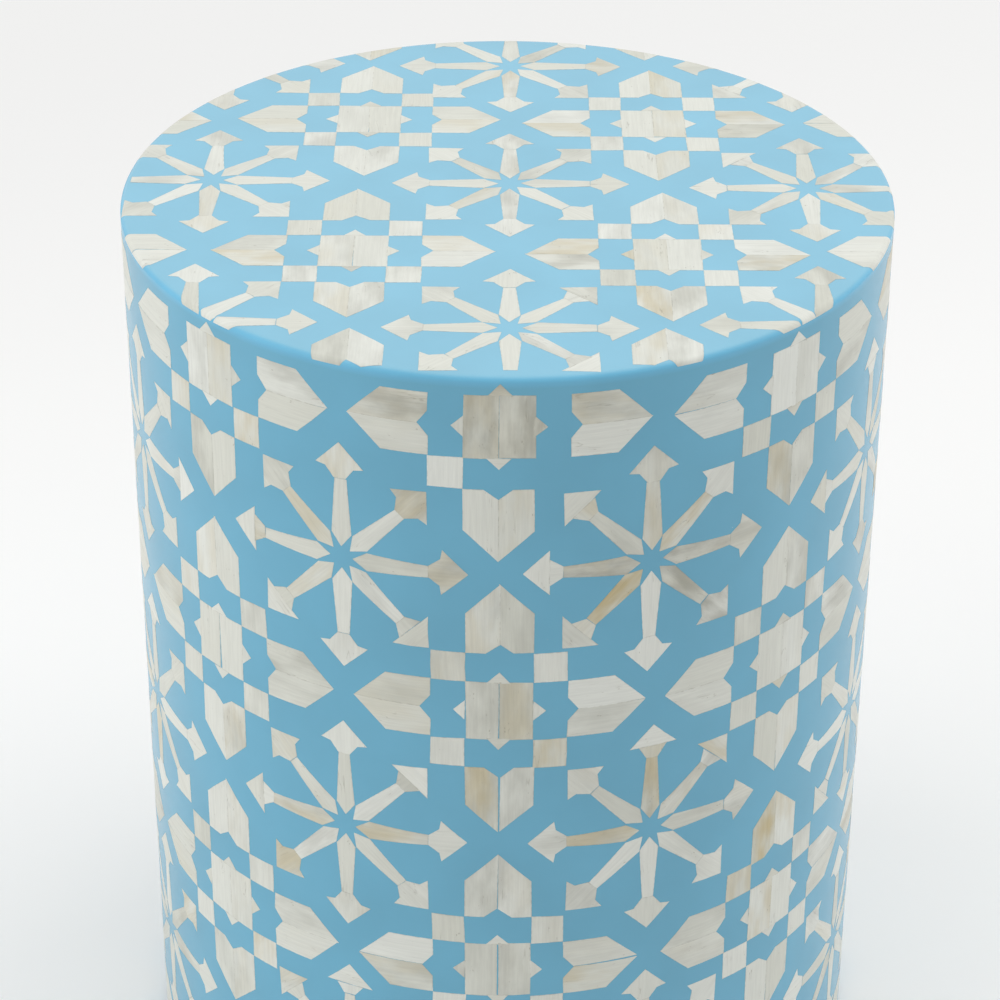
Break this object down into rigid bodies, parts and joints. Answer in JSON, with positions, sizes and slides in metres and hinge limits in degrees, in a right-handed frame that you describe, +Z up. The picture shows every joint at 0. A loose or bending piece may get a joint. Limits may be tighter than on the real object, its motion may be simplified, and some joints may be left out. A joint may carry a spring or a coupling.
{
  "type": "drum stool",
  "caption": "Round drum stool with straight sides, a flat top and a bone inlay of large and small stars set in tinted resin.",
  "frame": {"origin": "on the drum's axis, on the floor that the glides stand on", "axes": "+Z up along the drum's axis, -Y towards the front, +X to the right seen from the front"},
  "size_m": [0.35, 0.35, 0.465],
  "materials": {
    "resin": "satin",
    "bone": "satin",
    "board": "matte",
    "stained_board": "matte",
    "plywood": "matte",
    "pine": "matte",
    "steel": "satin",
    "nylon": "matte"
  },
  "bodies": {
    "root": {"resin_side": "resin", "resin_top": "resin", "star_centre": "bone", "star_right": "bone", "star_back": "bone", "star_left": "bone", "star_front": "bone", "rosette_front_left": "bone", "rosette_front_right": "bone", "rosette_back_left": "bone", "rosette_back_right": "bone", "rim_arm_across_front_left": "bone", "rim_arm_across_front_right": "bone", "rim_arm_across_back_left": "bone", "rim_arm_across_back_right": "bone", "rim_arm_along_front_left": "bone", "rim_arm_along_front_right": "bone", "rim_arm_along_back_left": "bone", "rim_arm_along_back_right": "bone", "rim_house_across_front_left": "bone", "rim_house_across_front_right": "bone", "rim_house_across_back_left": "bone", "rim_house_across_back_right": "bone", "rim_house_along_front_left": "bone", "rim_house_along_front_right": "bone", "rim_house_along_back_left": "bone", "rim_house_along_back_right": "bone", "top_panel": "board", "base_panel": "stained_board", "rib_lower": "board", "rib_upper": "board", "batten_1": "pine", "batten_2": "pine", "batten_3": "pine", "batten_4": "pine", "batten_5": "pine", "batten_6": "pine", "batten_7": "pine", "batten_8": "pine", "skin_front": "plywood", "skin_right": "plywood", "skin_back": "plywood", "skin_left": "plywood", "base_screw_1": "steel", "base_screw_2": "steel", "base_screw_3": "steel", "base_screw_4": "steel", "base_screw_5": "steel", "base_screw_6": "steel", "base_screw_7": "steel", "base_screw_8": "steel", "glide_1": "nylon", "glide_2": "nylon", "glide_3": "nylon", "glide_4": "nylon", "glide_nail_1": "steel", "glide_nail_2": "steel", "glide_nail_3": "steel", "glide_nail_4": "steel"}
  },
  "joints": []
}
